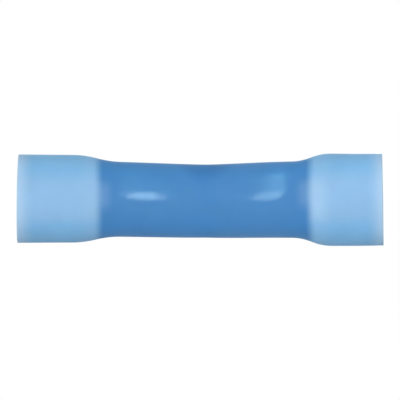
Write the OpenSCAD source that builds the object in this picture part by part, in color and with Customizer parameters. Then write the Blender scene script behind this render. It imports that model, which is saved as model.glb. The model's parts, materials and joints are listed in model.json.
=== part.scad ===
// Insulated butt splice connector for 1.5 to 2.5 square millimetre wire.
// A metal crimp barrel with a pressed centre stop sits in a translucent sleeve,
// which grips the barrel and flares into a bell at each end.
// Pressing the stop leaves the connector narrower there, and slightly bent.
// It stands on its wider bell, with the lower half's axis on Z. Above the bend it leans towards +X.

/* [Barrel] */
// Length of the metal barrel
barrel_length = 15; // [13:0.5:20]
// Outside diameter of the barrel
barrel_d = 4; // [3.6:0.05:4.3]
// Bore of the barrel, which takes the bare wire
bore_d = 2.3; // [1.8:0.05:2.6]
// Bevel round each mouth of the bore
bore_bevel = 0.3; // [0.1:0.05:0.4]
// Rounding of the barrel's outer edges
barrel_edge = 0.12; // [0.05:0.01:0.2]

/* [Centre stop] */
// How far the stop stands into the bore
stop_height = 0.9; // [0.6:0.05:1]
// Length of the pressed stop, along the barrel
stop_length = 3.4; // [3:0.1:4.5]
// How much the pressing narrows the barrel all round, in radius
stop_neck = 0.02; // [0.01:0.01:0.08]
// Bend that the pressing leaves, in degrees
bend_angle = 1.3; // [0.5:0.1:4]

/* [Sleeve] */
// Depth from the lower mouth to the barrel
lower_entry = 5.2; // [4:0.1:8]
// Depth from the upper mouth to the barrel
upper_entry = 5.8; // [4:0.1:8]
// Bore of the lower bell, which takes the wire's insulation
lower_bell_bore = 5.5; // [5:0.05:6.5]
// Bore of the upper bell, which takes the wire's insulation
upper_bell_bore = 5.2; // [5:0.05:6.5]
// Wall of both bells
bell_wall = 0.55; // [0.4:0.05:0.8]
// Wall of the sleeve behind the lower shoulder
lower_neck_wall = 0.71; // [0.5:0.01:0.9]
// Wall of the sleeve behind the upper shoulder
upper_neck_wall = 0.65; // [0.5:0.01:0.9]
// Wall of the sleeve round the centre stop
waist_wall = 0.6; // [0.4:0.01:0.8]
// Length of the lower shoulder, from bell to neck
lower_shoulder = 2.8; // [2:0.1:4]
// Length of the upper shoulder, from bell to neck
upper_shoulder = 3.2; // [2:0.1:4]
// Distance of the lower shoulder's middle beyond the barrel's end
lower_shoulder_out = 0.15; // [-0.3:0.05:0.5]
// Distance of the upper shoulder's middle beyond the barrel's end
upper_shoulder_out = 0.25; // [-0.3:0.05:0.5]
// Rounding of the cut edges at both mouths
lip_round = 0.12; // [0.05:0.01:0.18]
// Gap all round between barrel and sleeve
grip_clearance = 0.02; // [0.01:0.01:0.05]

/* [Hidden] */
$fn = 96;

sleeve_colour = [0.42, 0.65, 0.86];
barrel_colour = [0.78, 0.78, 0.76];

// Straight stretches that make up each shoulder's curve and each rounded edge
shoulder_steps = 16;
round_steps = 6;

// Overshoot of a shape past the plane that cuts it
over = 1;

bore_r = bore_d / 2;
barrel_r = barrel_d / 2;
barrel_wall = barrel_r - bore_r;
grip_r = barrel_r + grip_clearance;

// Distances from the bend, which is at the middle of the barrel
barrel_end = barrel_length / 2;
stop_end = stop_length / 2;
lower_mouth = barrel_end + lower_entry;
upper_mouth = barrel_end + upper_entry;

// Fall in radius from the end of the stop to the overshoot past the bend
neck_fall = stop_neck * (stop_end + over) / stop_end;

// The stop is an arc of this radius as seen from the side
stop_r = (pow(stop_end, 2) + pow(stop_height, 2)) / (2 * stop_height);
// Distance of that arc's centre from the barrel's axis
stop_centre = bore_r - stop_height + stop_r;

// Share of a shoulder's fall at a share of its length: two like curves that meet halfway
function ease(share) = share < 0.5 ? 2 * pow(share, 2) : 1 - 2 * pow(1 - share, 2);

// Points of a shoulder, as [radius, distance from the bend]
function shoulder_points(from, to) = [
    for (step = [0 : shoulder_steps])
        let (share = step / shoulder_steps)
        [from.x + (to.x - from.x) * ease(share), from.y + (to.y - from.y) * share]
];

// Points of a rounded edge, through a quarter turn from an angle
function round_points(centre, r, angle) = [
    for (step = [0 : round_steps])
        let (turn = angle + 90 * step / round_steps)
        centre + r * [cos(turn), sin(turn)]
];

// Wall of one half of the sleeve, in radius and distance from the bend
module sleeve_section(mouth, bell_bore, neck_wall, shoulder, shoulder_out) {
    bell_bore_r = bell_bore / 2;
    bell_r = bell_bore_r + bell_wall;
    neck_r = grip_r + neck_wall;
    waist_r = grip_r + waist_wall;
    shoulder_middle = barrel_end + shoulder_out;
    bell_start = shoulder_middle + shoulder / 2;
    neck_end = shoulder_middle - shoulder / 2;
    lip = mouth - lip_round;
    polygon(concat(
        [[waist_r - neck_fall, -over], [waist_r, stop_end]],
        shoulder_points([neck_r, neck_end], [bell_r, bell_start]),
        round_points([bell_r - lip_round, lip], lip_round, 0),
        round_points([bell_bore_r + lip_round, lip], lip_round, 90),
        shoulder_points([bell_bore_r, bell_start], [grip_r, neck_end]),
        [[grip_r, stop_end], [grip_r - neck_fall, -over]]
    ));
}

// Wall of one half of the barrel, in radius and distance from the bend
module barrel_section() {
    polygon(concat(
        [[barrel_r - neck_fall, -over], [barrel_r, stop_end]],
        round_points([barrel_r - barrel_edge, barrel_end - barrel_edge], barrel_edge, 0),
        [[bore_r + bore_bevel, barrel_end], [bore_r, barrel_end - bore_bevel]],
        [[bore_r, stop_end], [bore_r - neck_fall, -over]]
    ));
}

// What fills the bore at the stop, out to the middle of the barrel's wall
module stop_section() {
    translate([0, -over]) square([bore_r + barrel_wall / 2, stop_length]);
}

// Turns a section round the axis of one half, and cuts it off at the plane of the bend
module half_above_bend() {
    reach = lower_mouth + upper_mouth;
    intersection() {
        rotate([0, bend_angle / 2, 0]) rotate_extrude() children();
        translate([-reach, -reach, 0]) cube(2 * reach);
    }
}

module half_below_bend() {
    mirror([0, 0, 1]) half_above_bend() children();
}

// Sets what is drawn about the middle of the bend upright on the lower mouth
module stand() {
    translate([0, 0, lower_mouth]) rotate([0, bend_angle / 2, 0]) children();
}

// A bar across the barrel, rounded about the centre of the stop's arc
module stop_bar(r) {
    translate([stop_centre, 0, 0])
        rotate([90, 0, 0])
            cylinder(r = r, h = barrel_d + 2 * over, center = true);
}

module insulating_sleeve() {
    color(sleeve_colour) stand() {
        half_above_bend() sleeve_section(
            upper_mouth, upper_bell_bore, upper_neck_wall, upper_shoulder, upper_shoulder_out
        );
        half_below_bend() sleeve_section(
            lower_mouth, lower_bell_bore, lower_neck_wall, lower_shoulder, lower_shoulder_out
        );
    }
}

// The stop is the barrel's own wall, pushed into the bore from one side
module crimp_barrel() {
    color(barrel_colour) stand() difference() {
        union() {
            half_above_bend() barrel_section();
            half_below_bend() barrel_section();
            intersection() {
                union() {
                    half_above_bend() stop_section();
                    half_below_bend() stop_section();
                }
                stop_bar(stop_r);
            }
        }
        stop_bar(stop_r - barrel_wall);
    }
}

insulating_sleeve();
crimp_barrel();
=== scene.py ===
import json
import math
from dataclasses import dataclass

import bpy
from mathutils import Matrix, Vector


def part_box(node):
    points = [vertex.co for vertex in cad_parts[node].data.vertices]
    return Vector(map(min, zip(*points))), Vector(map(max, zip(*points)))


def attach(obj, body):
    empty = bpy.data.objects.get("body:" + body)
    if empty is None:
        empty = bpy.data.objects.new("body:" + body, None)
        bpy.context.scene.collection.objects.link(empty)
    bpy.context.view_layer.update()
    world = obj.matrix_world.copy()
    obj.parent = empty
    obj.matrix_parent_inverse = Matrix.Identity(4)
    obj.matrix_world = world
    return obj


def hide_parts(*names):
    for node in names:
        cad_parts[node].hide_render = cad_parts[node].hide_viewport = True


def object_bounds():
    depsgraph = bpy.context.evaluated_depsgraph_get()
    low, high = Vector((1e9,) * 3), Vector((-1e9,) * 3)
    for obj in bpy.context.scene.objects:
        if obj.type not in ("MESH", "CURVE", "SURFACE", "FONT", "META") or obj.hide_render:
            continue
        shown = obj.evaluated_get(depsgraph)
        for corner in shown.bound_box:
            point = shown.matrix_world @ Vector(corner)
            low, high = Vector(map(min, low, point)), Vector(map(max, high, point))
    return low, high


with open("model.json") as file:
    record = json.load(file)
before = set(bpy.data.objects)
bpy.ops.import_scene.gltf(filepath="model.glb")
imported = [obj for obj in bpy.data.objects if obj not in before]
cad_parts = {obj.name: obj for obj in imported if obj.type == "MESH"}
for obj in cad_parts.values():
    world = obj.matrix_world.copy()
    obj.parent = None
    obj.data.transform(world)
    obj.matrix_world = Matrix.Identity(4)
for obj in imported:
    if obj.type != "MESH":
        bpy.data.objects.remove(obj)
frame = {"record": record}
cad_low, cad_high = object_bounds()

# An insulated butt splice connector: a blue nylon sleeve on a tinned barrel.
# Lengths below are in millimetres, and meshes are made in metres.
MM = 0.001

# What the frame gives: the height, the bend between the two axes, the barrel and its bore.
LENGTH = cad_high.z / MM
mounts = {mount["name"]: mount for mount in frame["record"]["mounts"]}
upper_axis = Vector(mounts["upper_wire_bore"]["axis"])
upper_point = Vector(mounts["upper_wire_bore"]["pos_m"]) / MM
BEND = math.atan2(upper_axis.x, upper_axis.z)
BEND_Z = upper_point.z - upper_point.x / math.tan(BEND)
WIRE_BORE_R = mounts["lower_wire_bore"]["dims"]["r_mm"]
barrel_low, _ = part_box("crimp_barrel")
BARREL_END = BEND_Z - barrel_low.z / MM
BARREL_R = -barrel_low.x / MM
BARREL_WALL = BARREL_R - WIRE_BORE_R

# The barrel's edges: rounded outside, and bevelled round the bore.
BARREL_EDGE = 0.12
BORE_BEVEL = 0.3

# The centre stop, pressed in from +X: an arc as seen from the side.
STOP_HEIGHT = 0.9
STOP_END = 1.7
STOP_R = (STOP_END**2 + STOP_HEIGHT**2) / (2 * STOP_HEIGHT)
STOP_CENTRE = WIRE_BORE_R - STOP_HEIGHT + STOP_R

# The sleeve's inside where it grips the barrel, with a fine gap.
GRIP_GAP = 0.02
GRIP_R = BARREL_R + GRIP_GAP
# The sleeve's waist, where its two halves meet in a fine crease.
WAIST_R = 2.61
WAIST_ROUND = 0.12
# How far the pressing bows the sleeve's outside, besides the bend that it leaves.
BOW = 0.03
# Rounding of the mouths' cut edges, outside and inside.
EDGE_ROUND = 0.03
LIP_ROUND = 0.12
# Length of bell over which a slanted cut shortens the wall.
CUT_REACH = 1.5

# How finely the meshes are made: along the axis, round it, and round an edge.
SLEEVE_STEP = 0.13
BARREL_STEP = 0.1
SLEEVE_SEGMENTS = 192
BARREL_SEGMENTS = 128
EDGE_STEPS = 6


@dataclass
class Half:
    """One half of the sleeve, with distances from the bend.

    Outside, the neck widens from the waist by its slope, less its curve, up to the shoulder.
    The bell runs from there to the mouth. The bow has swung to the other side at bow_reach,
    and cut_slant is the slope of the mouth's cut.
    """

    mouth: float
    bell_r: float
    mouth_r: float
    bore_r: float
    shoulder_middle: float
    shoulder: float
    neck_slope: float
    neck_curve: float
    bow_reach: float
    cut_slant: float


LOWER = Half(
    mouth=BEND_Z,
    bell_r=3.297,
    mouth_r=3.275,
    bore_r=mounts["lower_bell"]["dims"]["r_mm"],
    shoulder_middle=BARREL_END + 0.09,
    shoulder=2.8,
    neck_slope=0.0254,
    neck_curve=0.00097,
    bow_reach=5.9,
    cut_slant=0.006,
)
UPPER = Half(
    mouth=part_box("insulating_sleeve")[1].z / MM - BEND_Z,
    bell_r=3.133,
    mouth_r=3.158,
    bore_r=mounts["upper_bell"]["dims"]["r_mm"],
    shoulder_middle=BARREL_END + 0.28,
    shoulder=3.5,
    neck_slope=0.0139,
    neck_curve=0.0005,
    bow_reach=7.4,
    cut_slant=0.0,
)


def ease(share):
    """Share of a shoulder's rise at a share of its length: two like curves that meet halfway."""
    share = min(max(share, 0.0), 1.0)
    return 2 * share**2 if share < 0.5 else 1 - 2 * (1 - share) ** 2


def outer_radius(half, distance):
    """The sleeve's outside, with the crease at the waist rounded off."""
    from_waist = math.hypot(distance, WAIST_ROUND) - WAIST_ROUND
    neck = WAIST_R + half.neck_slope * from_waist - half.neck_curve * from_waist**2
    start = half.shoulder_middle - half.shoulder / 2
    end = half.shoulder_middle + half.shoulder / 2
    along_bell = max(0.0, (distance - end) / (half.mouth - end))
    bell = half.bell_r + (half.mouth_r - half.bell_r) * along_bell
    return neck + (bell - neck) * ease((distance - start) / half.shoulder)


def inner_radius(half, distance):
    """The sleeve's inside: its grip on the barrel, the shoulder and the bell's bore."""
    start = half.shoulder_middle - half.shoulder / 2
    return GRIP_R + (half.bore_r - GRIP_R) * ease((distance - start) / half.shoulder)


def steps(start, end, step):
    """Evenly spaced values from start to end, both included, about a step apart."""
    count = max(1, round(abs(end - start) / step))
    return [start + (end - start) * i / count for i in range(count + 1)]


def quarter(centre_d, centre_r, radius, start):
    """Points of a rounded edge, as (distance, radius), through a quarter turn."""
    turns = [start + math.pi / 2 * i / EDGE_STEPS for i in range(EDGE_STEPS + 1)]
    return [(centre_d + radius * math.sin(t), centre_r + radius * math.cos(t)) for t in turns]


def half_outline(half, sign):
    """One half's wall from the bend to the mouth and back, as (signed distance, radius)."""
    edge = half.mouth - EDGE_ROUND
    lip = half.mouth - LIP_ROUND
    along = [0, WAIST_ROUND] + steps(2 * WAIST_ROUND, edge, SLEEVE_STEP)
    outside = [(d, outer_radius(half, d)) for d in along]
    rim = quarter(edge, outside[-1][1] - EDGE_ROUND, EDGE_ROUND, 0)
    rim += quarter(lip, half.bore_r + LIP_ROUND, LIP_ROUND, math.pi / 2)
    inside = [(d, inner_radius(half, d)) for d in steps(lip, 0, 2 * SLEEVE_STEP)]
    return [(sign * d, r) for d, r in outside[:-1] + rim + inside[1:]]


def sleeve_outline():
    upper = half_outline(UPPER, 1)
    lower = half_outline(LOWER, -1)
    return upper + lower[::-1][1:-1]


def press_and_cut(distance, radius, turn):
    """Bows the outside on the stop's side and opposite it, and shortens the +X side of a mouth
    that was cut out of square, over the last of its bell."""
    half = UPPER if distance > 0 else LOWER
    outside = min((radius - GRIP_R) / (WAIST_R - GRIP_R), 1.0)
    bow = BOW * outside * math.cos(math.pi * distance / half.bow_reach)
    radius -= bow * math.cos(turn) ** 3
    share = max(0.0, (abs(distance) - half.mouth + CUT_REACH) / CUT_REACH)
    shortening = half.cut_slant * radius * (1 + math.cos(turn)) * share
    return distance - math.copysign(shortening, distance), radius


def barrel_outline():
    edge = BARREL_END - BARREL_EDGE
    bevel_end = BARREL_END - BORE_BEVEL
    outside = [(d, BARREL_R) for d in steps(0, edge, BARREL_STEP)]
    rim = quarter(edge, BARREL_R - BARREL_EDGE, BARREL_EDGE, 0)
    bevel = [(BARREL_END, WIRE_BORE_R + BORE_BEVEL), (bevel_end, WIRE_BORE_R)]
    inside = [(d, WIRE_BORE_R) for d in steps(bevel_end, 0, BARREL_STEP)]
    half = outside[:-1] + rim + bevel + inside[1:]
    return half + [(-d, r) for d, r in half[::-1][1:-1]]


def press_stop(distance, radius, turn):
    """Pushes the barrel's wall in from +X, where the stop is."""
    bar = STOP_R if radius < BARREL_R - BARREL_WALL / 2 else STOP_R - BARREL_WALL
    facing = math.cos(turn)
    if abs(distance) >= bar or facing <= 0:
        return distance, radius
    return distance, min(radius, (STOP_CENTRE - math.sqrt(bar**2 - distance**2)) / facing)


def centre_line(distance):
    """Point and tangent angle of the bent axis at a signed distance from the bend."""
    share = min(max((distance + STOP_END) / (2 * STOP_END), 0.0), 1.0)
    if share < 1:
        x = BEND * STOP_END * share**2
    else:
        x = math.sin(BEND) * distance
    z = BEND_Z + distance * (math.cos(BEND) if distance > 0 else 1.0)
    return Vector((x, 0, z)), BEND * share


def lathe(name, outline, segments, shaped):
    """A closed mesh swept round the bent axis from a closed outline of (distance, radius).
    Shaped gives each point's own distance and radius at its turn, which is 0 towards +X."""
    verts = []
    for point in outline:
        for i in range(segments):
            turn = 2 * math.pi * i / segments
            distance, radius = shaped(*point, turn)
            centre, tilt = centre_line(distance)
            across = radius * math.cos(turn)
            offset = Vector((
                across * math.cos(tilt), radius * math.sin(turn), -across * math.sin(tilt)
            ))
            verts.append((centre + offset) * MM)
    rings = len(outline)
    faces = []
    for ring in range(rings):
        following = (ring + 1) % rings
        for i in range(segments):
            j = (i + 1) % segments
            faces.append((
                ring * segments + i,
                ring * segments + j,
                following * segments + j,
                following * segments + i,
            ))
    mesh = bpy.data.meshes.new(name)
    mesh.from_pydata(verts, [], faces)
    mesh.shade_smooth()
    mesh.validate()
    piece = bpy.data.objects.new(name, mesh)
    bpy.context.scene.collection.objects.link(piece)
    return piece


def srgb(red, green, blue):
    """A colour as it shows on screen, from 0 to 255, as the linear colour that a shader takes."""
    def linear(value):
        share = value / 255
        return share / 12.92 if share <= 0.04045 else ((share + 0.055) / 1.055) ** 2.4
    return (linear(red), linear(green), linear(blue), 1.0)


# Depth of the finest grain and lines on a surface.
BUMP_DEPTH = 0.02


class Nodes:
    """Builds one node tree: each call adds a node, sets its inputs and links given sockets."""

    def __init__(self, tree):
        self.tree = tree
        tree.nodes.clear()

    def add(self, kind, inputs=None, **settings):
        node = self.tree.nodes.new("ShaderNode" + kind)
        for key, value in settings.items():
            setattr(node, key, value)
        for key, value in (inputs or {}).items():
            if isinstance(value, bpy.types.NodeSocket):
                self.tree.links.new(value, node.inputs[key])
            else:
                node.inputs[key].default_value = value
        return node

    def math(self, operation, first, second=0.0):
        return self.add("Math", {0: first, 1: second}, operation=operation).outputs[0]

    def product(self, first, *others):
        for other in others:
            first = self.math("MULTIPLY", first, other)
        return first

    def scaled(self, vector, scale):
        return self.add("VectorMath", {0: vector, "Scale": scale}, operation="SCALE").outputs[0]

    def fade(self, value, start, end):
        """0 where the value is at start or before it, rising smoothly to 1 at end."""
        inputs = {"Value": value, "From Min": start, "From Max": end}
        return self.add("MapRange", inputs, interpolation_type="SMOOTHSTEP").outputs[0]

    def rescale(self, value, start, end, low, high):
        """Low where the value is at start, high where it is at end, and evenly in between."""
        inputs = {
            "Value": value, "From Min": start, "From Max": end, "To Min": low, "To Max": high
        }
        return self.add("MapRange", inputs).outputs[0]

    def mix(self, share, first, second):
        """The first colour where the share is 0, and the second where it is 1."""
        inputs = {"Factor": share, 6: first, 7: second}
        return self.add("Mix", inputs, data_type="RGBA").outputs[2]

    def ramp(self, factor, stops):
        """Colours that blend into each other between stops, given as (factor, colour)."""
        node = self.add("ValToRGB", {"Fac": factor})
        ramp = node.color_ramp
        ramp.interpolation = "EASE"
        while len(ramp.elements) < len(stops):
            ramp.elements.new(1.0)
        for element, (position, colour) in zip(ramp.elements, stops):
            element.position = position
            element.color = colour
        return node.outputs["Color"]

    def noise(self, place, scale, detail):
        inputs = {"Vector": place, "Scale": scale, "Detail": detail}
        return self.add("TexNoise", inputs).outputs["Fac"]

    def bump(self, height, strength):
        inputs = {"Height": height, "Strength": strength, "Distance": BUMP_DEPTH * MM}
        return self.add("Bump", inputs).outputs[0]

    def background_ray(self):
        """1 for rays that should see the white background: camera, mirror and see-through ones."""
        path = self.add("LightPath").outputs
        seen = self.math("MAXIMUM", path["Is Camera Ray"], path["Is Glossy Ray"])
        return self.math("MAXIMUM", seen, path["Is Transmission Ray"])


def new_material(name):
    material = bpy.data.materials.new(name)
    material.use_nodes = True
    return material, Nodes(material.node_tree)


# The nylon's tints: on the sides of the open bells, and a more saturated painted shade on the rest
# of them;
# painted light at their mouths, inside and on their shoulders; the same two over the barrel; a
# painted reflection where the barrel ends, and painted shade over the pressed stop.
BELL_TINT = srgb(146, 188, 226)
PAINTED_SHADE_BELL_TINT = srgb(133, 187, 230)
PAINTED_LIGHT_TINT = srgb(178, 207, 235)
BARREL_TINT = srgb(79, 137, 194)
PAINTED_SHADE_BARREL_TINT = srgb(76, 138, 198)
PAINTED_GLOW_TINT = srgb(105, 152, 203)
PAINTED_DISH_TINT = srgb(64, 122, 181)

# The middle of the dark stretch, where the barrel lies behind the sleeve.
DARK_MIDDLE = BEND_Z + 0.035
# How far the painted shade over the pressed stop reaches along the sleeve, and how much of its
# tint.
PAINTED_DISH_REACH = 2.0
PAINTED_DISH_SHARE = 0.8
# The nylon's coat where it is gripped tight, and elsewhere.
TIGHT_GLOSS = 0.054
DULL_GLOSS = 0.011


@dataclass
class SleevePlace:
    """Sockets that say where a point of the sleeve is.

    Aside is 0 on the stop's side and opposite it, and 1 in between. Facing is 1 on the outside
    and -1 on the inside. Lower is 1 on the lower half.
    """

    point: bpy.types.NodeSocket
    x: bpy.types.NodeSocket
    z: bpy.types.NodeSocket
    from_bend: bpy.types.NodeSocket
    beyond_barrel: bpy.types.NodeSocket
    aside: bpy.types.NodeSocket
    facing: bpy.types.NodeSocket
    lower: bpy.types.NodeSocket


def sleeve_place(nodes):
    coordinates = nodes.add("TexCoord").outputs
    point = nodes.scaled(coordinates["Object"], 1 / MM)
    x, y, z = nodes.add("SeparateXYZ", {"Vector": point}).outputs
    from_bend = nodes.math("ABSOLUTE", nodes.math("SUBTRACT", z, DARK_MIDDLE))
    from_axis = nodes.add("CombineXYZ", {"X": x, "Y": y}).outputs[0]
    outward = nodes.add("VectorMath", {0: from_axis}, operation="NORMALIZE").outputs[0]
    outward_y = nodes.add("SeparateXYZ", {"Vector": outward}).outputs["Y"]
    directions = {0: coordinates["Normal"], 1: outward}
    return SleevePlace(
        point=point,
        x=x,
        z=z,
        from_bend=from_bend,
        beyond_barrel=nodes.math("SUBTRACT", from_bend, BARREL_END),
        aside=nodes.math("ABSOLUTE", outward_y),
        facing=nodes.add("VectorMath", directions, operation="DOT_PRODUCT").outputs["Value"],
        lower=nodes.fade(z, start=16.0, end=9.0),
    )


def nylon_tint(nodes, at):
    # Painted shade: more saturated away from the sides, where the edges fall in shade, and sooner
    # so towards -X.
    painted_shade_end = nodes.rescale(at.x, start=-0.5, end=0.5, low=0.8, high=0.68)
    painted_edge_shade = nodes.fade(at.aside, start=0.98, end=painted_shade_end)

    # Painted reflection: a pale glow of the lamps on the sides where the barrel ends inside,
    # mostly towards +X.
    painted_glow = nodes.product(
        nodes.fade(at.beyond_barrel, start=-1.2, end=-0.25),
        nodes.fade(at.aside, start=0.8, end=0.98),
        nodes.fade(at.x, start=-1.0, end=0.2),
    )
    over_barrel = nodes.mix(painted_glow, nodes.mix(painted_edge_shade, BARREL_TINT, PAINTED_SHADE_BARREL_TINT), PAINTED_GLOW_TINT)

    # The bells are pale; painted light makes them lighter at their cut mouths and inside, and a
    # painted highlight lies over the shoulders, most of all on the sides of the lower one.
    side_of_lower = nodes.product(at.lower, nodes.fade(at.aside, start=0.8, end=1.0))
    painted_shoulder_highlight = nodes.product(
        nodes.fade(at.beyond_barrel, start=1.8, end=0.5),
        nodes.rescale(side_of_lower, start=0.0, end=1.0, low=0.14, high=0.46),
    )
    from_mouth = nodes.math("MINIMUM", at.z, nodes.math("SUBTRACT", LENGTH, at.z))
    painted_light = nodes.math("MAXIMUM", painted_shoulder_highlight, nodes.fade(from_mouth, start=1.2, end=-0.2))
    painted_light = nodes.math("MAXIMUM", painted_light, nodes.fade(at.facing, start=0.0, end=-0.4))
    bell = nodes.mix(painted_light, nodes.mix(painted_edge_shade, BELL_TINT, PAINTED_SHADE_BELL_TINT), PAINTED_LIGHT_TINT)

    # The dark stretch ends a little further out away from the sides.
    further = nodes.rescale(at.aside, start=0.5, end=0.9, low=0.07, high=0.0)
    past_end = nodes.math("SUBTRACT", at.beyond_barrel, further)
    tint = nodes.mix(nodes.fade(past_end, start=-0.38, end=0.4), over_barrel, bell)

    # Painted shade: a darker patch over the pressed stop on the +X side.
    along = nodes.math("POWER", nodes.math("DIVIDE", at.from_bend, PAINTED_DISH_REACH), 2.0)
    across = nodes.math("DIVIDE", nodes.math("SUBTRACT", WAIST_R, at.x), WAIST_R / 2)
    painted_dish_shade = nodes.fade(nodes.math("ADD", along, across), start=1.3, end=0.2)
    tint = nodes.mix(nodes.product(painted_dish_shade, PAINTED_DISH_SHARE), tint, PAINTED_DISH_TINT)

    # Faint clouding in the moulded wall, with painted shade that darkens it a little towards the
    # upper mouth.
    cloud = nodes.noise(at.point, scale=0.42, detail=3.0)
    shade = nodes.product(
        nodes.rescale(cloud, start=0.3, end=0.7, low=0.97, high=1.03),
        nodes.rescale(at.z, start=0.0, end=LENGTH, low=1.015, high=0.96),
    )
    return nodes.scaled(tint, shade)


def nylon_gloss(nodes, at):
    """Gripped tight and glossy over the barrel, on the upper half only along its sides and on the
    lower one least there, and dull in the crease at the waist and on the shoulders and bells."""
    sides = nodes.fade(at.aside, start=0.95, end=0.99)
    upper_share = nodes.rescale(sides, start=0.0, end=1.0, low=0.45, high=1.0)
    lower_share = nodes.rescale(sides, start=0.0, end=1.0, low=1.0, high=0.71)
    return nodes.product(
        nodes.rescale(
            at.beyond_barrel, start=-1.85, end=-1.65, low=TIGHT_GLOSS, high=DULL_GLOSS
        ),
        nodes.fade(at.from_bend, start=0.4, end=0.9),
        nodes.rescale(at.lower, start=0.0, end=1.0, low=upper_share, high=lower_share),
    )


def nylon_material():
    material, nodes = new_material("blue_nylon")
    at = sleeve_place(nodes)
    grain = nodes.noise(at.point, scale=6.0, detail=2.0)
    surface = nodes.add("BsdfPrincipled", {
        "Base Color": nylon_tint(nodes, at),
        "Roughness": 0.5,
        "Specular IOR Level": 0.0,
        "Coat Weight": nylon_gloss(nodes, at),
        "Coat Roughness": 0.05,
        "Coat IOR": 2.0,
        "Sheen Weight": 0.27,
        "Sheen Roughness": 0.4,
        "Sheen Tint": (0.7, 0.88, 1.0, 1.0),
        "Subsurface Weight": 0.4,
        "Subsurface Radius": (0.3, 0.6, 1.0),
        "Subsurface Scale": 0.5 * MM,
        "Normal": nodes.bump(grain, strength=0.02),
    })
    nodes.add("OutputMaterial", {"Surface": surface.outputs[0]})
    return material


def tin_material():
    """Tin plate with drawing lines along the barrel, in patches of unlike brightness."""
    material, nodes = new_material("tinned_copper")
    place = nodes.add("TexCoord").outputs["Object"]
    drawn_out = {"Vector": place, "Scale": (1.0, 1.0, 0.08)}
    lines = nodes.noise(nodes.add("Mapping", drawn_out).outputs[0], scale=9000.0, detail=4.0)
    patches = nodes.noise(place, scale=1200.0, detail=3.0)
    tints = [(0.3, (0.60, 0.60, 0.57, 1)), (0.7, (0.76, 0.76, 0.74, 1))]
    surface = nodes.add("BsdfPrincipled", {
        "Base Color": nodes.ramp(patches, tints),
        "Metallic": 1.0,
        "Roughness": nodes.rescale(patches, start=0.3, end=0.7, low=0.24, high=0.38),
        "Normal": nodes.bump(lines, strength=0.15),
    })
    nodes.add("OutputMaterial", {"Surface": surface.outputs[0]})
    return material


def make_sleeve():
    sleeve = lathe("sleeve_shell", sleeve_outline(), SLEEVE_SEGMENTS, press_and_cut)
    sleeve.data.materials.append(nylon_material())
    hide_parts("insulating_sleeve")
    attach(sleeve, "root")


def make_barrel():
    barrel = lathe("barrel_tube", barrel_outline(), BARREL_SEGMENTS, press_stop)
    barrel.data.materials.append(tin_material())
    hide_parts("crimp_barrel")
    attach(barrel, "root")


# The view: the image is 400 px square, and the object's 26 mm lie along 364.2 px of it, with
# the lower end to the right.
IMAGE = 400
MM_PER_PIXEL = 26 / 364.2
BEND_PIXEL = Vector((205.2, 200.9))
IMAGE_TILT = math.radians(0.14)
CAMERA_DISTANCE = 780.0
CAMERA_HEIGHT = 1.5
SENSOR = 36.0


def make_camera():
    """Sets up the camera, and gives its target and its right, up and back directions."""
    lift = math.asin((BEND_Z - CAMERA_HEIGHT) / CAMERA_DISTANCE)
    back = Vector((0, -math.cos(lift), -math.sin(lift)))
    level = Vector((0, math.sin(lift), -math.cos(lift)))
    right = Matrix.Rotation(IMAGE_TILT - BEND / 2, 3, back) @ level
    up = back.cross(right)
    from_bend = (Vector((IMAGE / 2, IMAGE / 2)) - BEND_PIXEL) * MM_PER_PIXEL
    target = Vector((0, 0, BEND_Z)) + right * from_bend.x - up * from_bend.y
    lens = bpy.data.cameras.new("camera")
    lens.sensor_width = SENSOR
    lens.lens = SENSOR * CAMERA_DISTANCE / (IMAGE * MM_PER_PIXEL)
    lens.clip_start = 0.01
    lens.clip_end = 10
    camera = bpy.data.objects.new("camera", lens)
    bpy.context.scene.collection.objects.link(camera)
    turn = Matrix((right, up, back)).transposed().to_4x4()
    camera.matrix_world = Matrix.Translation((target + back * CAMERA_DISTANCE) * MM) @ turn
    bpy.context.scene.camera = camera
    return target, right, up, back


def make_lamp(name, place, target, spin_to, size, power, colour, shape="RECTANGLE", glint=False):
    """An area lamp at a place, facing a target, with its first size along spin_to.
    It isn't seen itself, and either lights the object evenly or only glints on it."""
    light = bpy.data.lights.new(name, "AREA")
    light.shape = shape
    light.size = size[0] * MM
    light.size_y = size[1] * MM
    light.energy = power
    light.color = colour
    lamp = bpy.data.objects.new(name, light)
    bpy.context.scene.collection.objects.link(lamp)
    back = (place - target).normalized()
    side = (spin_to - back * spin_to.dot(back)).normalized()
    turn = Matrix((side, back.cross(side), back)).transposed().to_4x4()
    lamp.matrix_world = Matrix.Translation(place * MM) @ turn
    lamp.visible_camera = False
    lamp.visible_diffuse = not glint
    lamp.visible_glossy = glint
    return light


def soften(light):
    """Dims a lamp smoothly from its middle towards both ends of its second size."""
    light.use_nodes = True
    nodes = Nodes(light.node_tree)
    place = nodes.add("NewGeometry").outputs["Parametric"]
    along = nodes.add("SeparateXYZ", {"Vector": place}).outputs["Y"]
    from_middle = nodes.math("ABSOLUTE", nodes.math("SUBTRACT", along, 0.5))
    strength = nodes.fade(from_middle, start=0.5, end=0.0)
    glow = nodes.add("Emission", {"Strength": strength}).outputs[0]
    nodes.add("OutputLight", {"Surface": glow})


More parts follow.
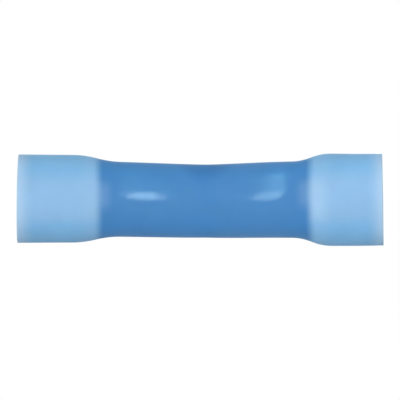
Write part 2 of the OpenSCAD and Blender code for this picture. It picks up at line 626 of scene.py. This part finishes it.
def make_lights(target, right, up, back):
    def from_target(lift, distance, sideways):
        """A place seen from the target, lifted by degrees from the camera's direction."""
        turn = math.radians(lift)
        ahead = up * math.sin(turn) + back * math.cos(turn)
        return target + ahead * distance + right * sideways

    # Two broad soft lamps, by the camera and behind the object.
    soft = dict(spin_to=right, size=(160, 300), power=4.83, colour=(1, 0.95, 0.86))
    make_lamp("front", from_target(lift=7.5, distance=800, sideways=-150), target, **soft)
    make_lamp("rear", from_target(lift=172.5, distance=800, sideways=-150), target, **soft)

    # What glints: a bright strip, a tall window and a fainter one above it.
    strip = make_lamp(
        "strip", from_target(lift=13, distance=191, sideways=-6.1), target,
        spin_to=0.3 * right - 0.7 * upper_axis, size=(3.7, 145),
        power=0.075, colour=(0.58, 0.9, 1), shape="ELLIPSE", glint=True,
    )
    soften(strip)
    upright = right - 0.02 * up
    make_lamp(
        "window", from_target(lift=55, distance=250, sideways=-7.4), target,
        spin_to=upright, size=(4, 325),
        power=0.088, colour=(0.34, 0.7, 0.73), glint=True,
    )
    make_lamp(
        "far_window", from_target(lift=68, distance=250, sideways=-2.8), target,
        spin_to=upright, size=(7, 520),
        power=0.078, colour=(0.1, 0.62, 0.7), glint=True,
    )


# The cool light from all round, and the floor, which glows a little so that it is seen as white.
FILL_LIGHT = (0.305, 0.375, 0.44, 1)
FLOOR_GLOW = 0.57
FLOOR_SIZE = 500


def make_world():
    world = bpy.data.worlds.new("studio")
    bpy.context.scene.world = world
    world.use_nodes = True
    nodes = Nodes(world.node_tree)
    fill = nodes.add("Background", {"Color": FILL_LIGHT, "Strength": 1.0}).outputs[0]
    white = nodes.add("Background", {"Color": (1, 1, 1, 1), "Strength": 1.0}).outputs[0]
    mixed = nodes.add("MixShader", {0: nodes.background_ray(), 1: fill, 2: white}).outputs[0]
    nodes.add("OutputWorld", {"Surface": mixed})


def floor_material():
    """A pale floor that keeps its shadows, and glows only for rays that see the background."""
    material, nodes = new_material("pale_floor")
    place = nodes.add("TexCoord").outputs["Object"]
    speckle = nodes.noise(place, scale=300.0, detail=2.0)
    tint = nodes.ramp(speckle, [(0.3, (0.80, 0.80, 0.80, 1)), (0.7, (0.84, 0.84, 0.84, 1))])
    lit = nodes.add("BsdfDiffuse", {"Color": tint}).outputs[0]
    glow = nodes.add("Emission", {"Color": (1, 1, 1, 1), "Strength": FLOOR_GLOW}).outputs[0]
    none = nodes.add("Emission", {"Color": (0, 0, 0, 1), "Strength": 0.0}).outputs[0]
    lift = nodes.add("MixShader", {0: nodes.background_ray(), 1: none, 2: glow}).outputs[0]
    both = nodes.add("AddShader", {0: lit, 1: lift}).outputs[0]
    nodes.add("OutputMaterial", {"Surface": both})
    return material


def make_floor():
    half = FLOOR_SIZE / 2 * MM
    mesh = bpy.data.meshes.new("floor")
    corners = [(-half, -half, 0), (half, -half, 0), (half, half, 0), (-half, half, 0)]
    mesh.from_pydata(corners, [], [(0, 1, 2, 3)])
    mesh.materials.append(floor_material())
    floor = bpy.data.objects.new("floor", mesh)
    bpy.context.scene.collection.objects.link(floor)


make_sleeve()
make_barrel()
make_floor()
make_world()
make_lights(*make_camera())
bpy.context.scene.view_settings.view_transform = "Standard"
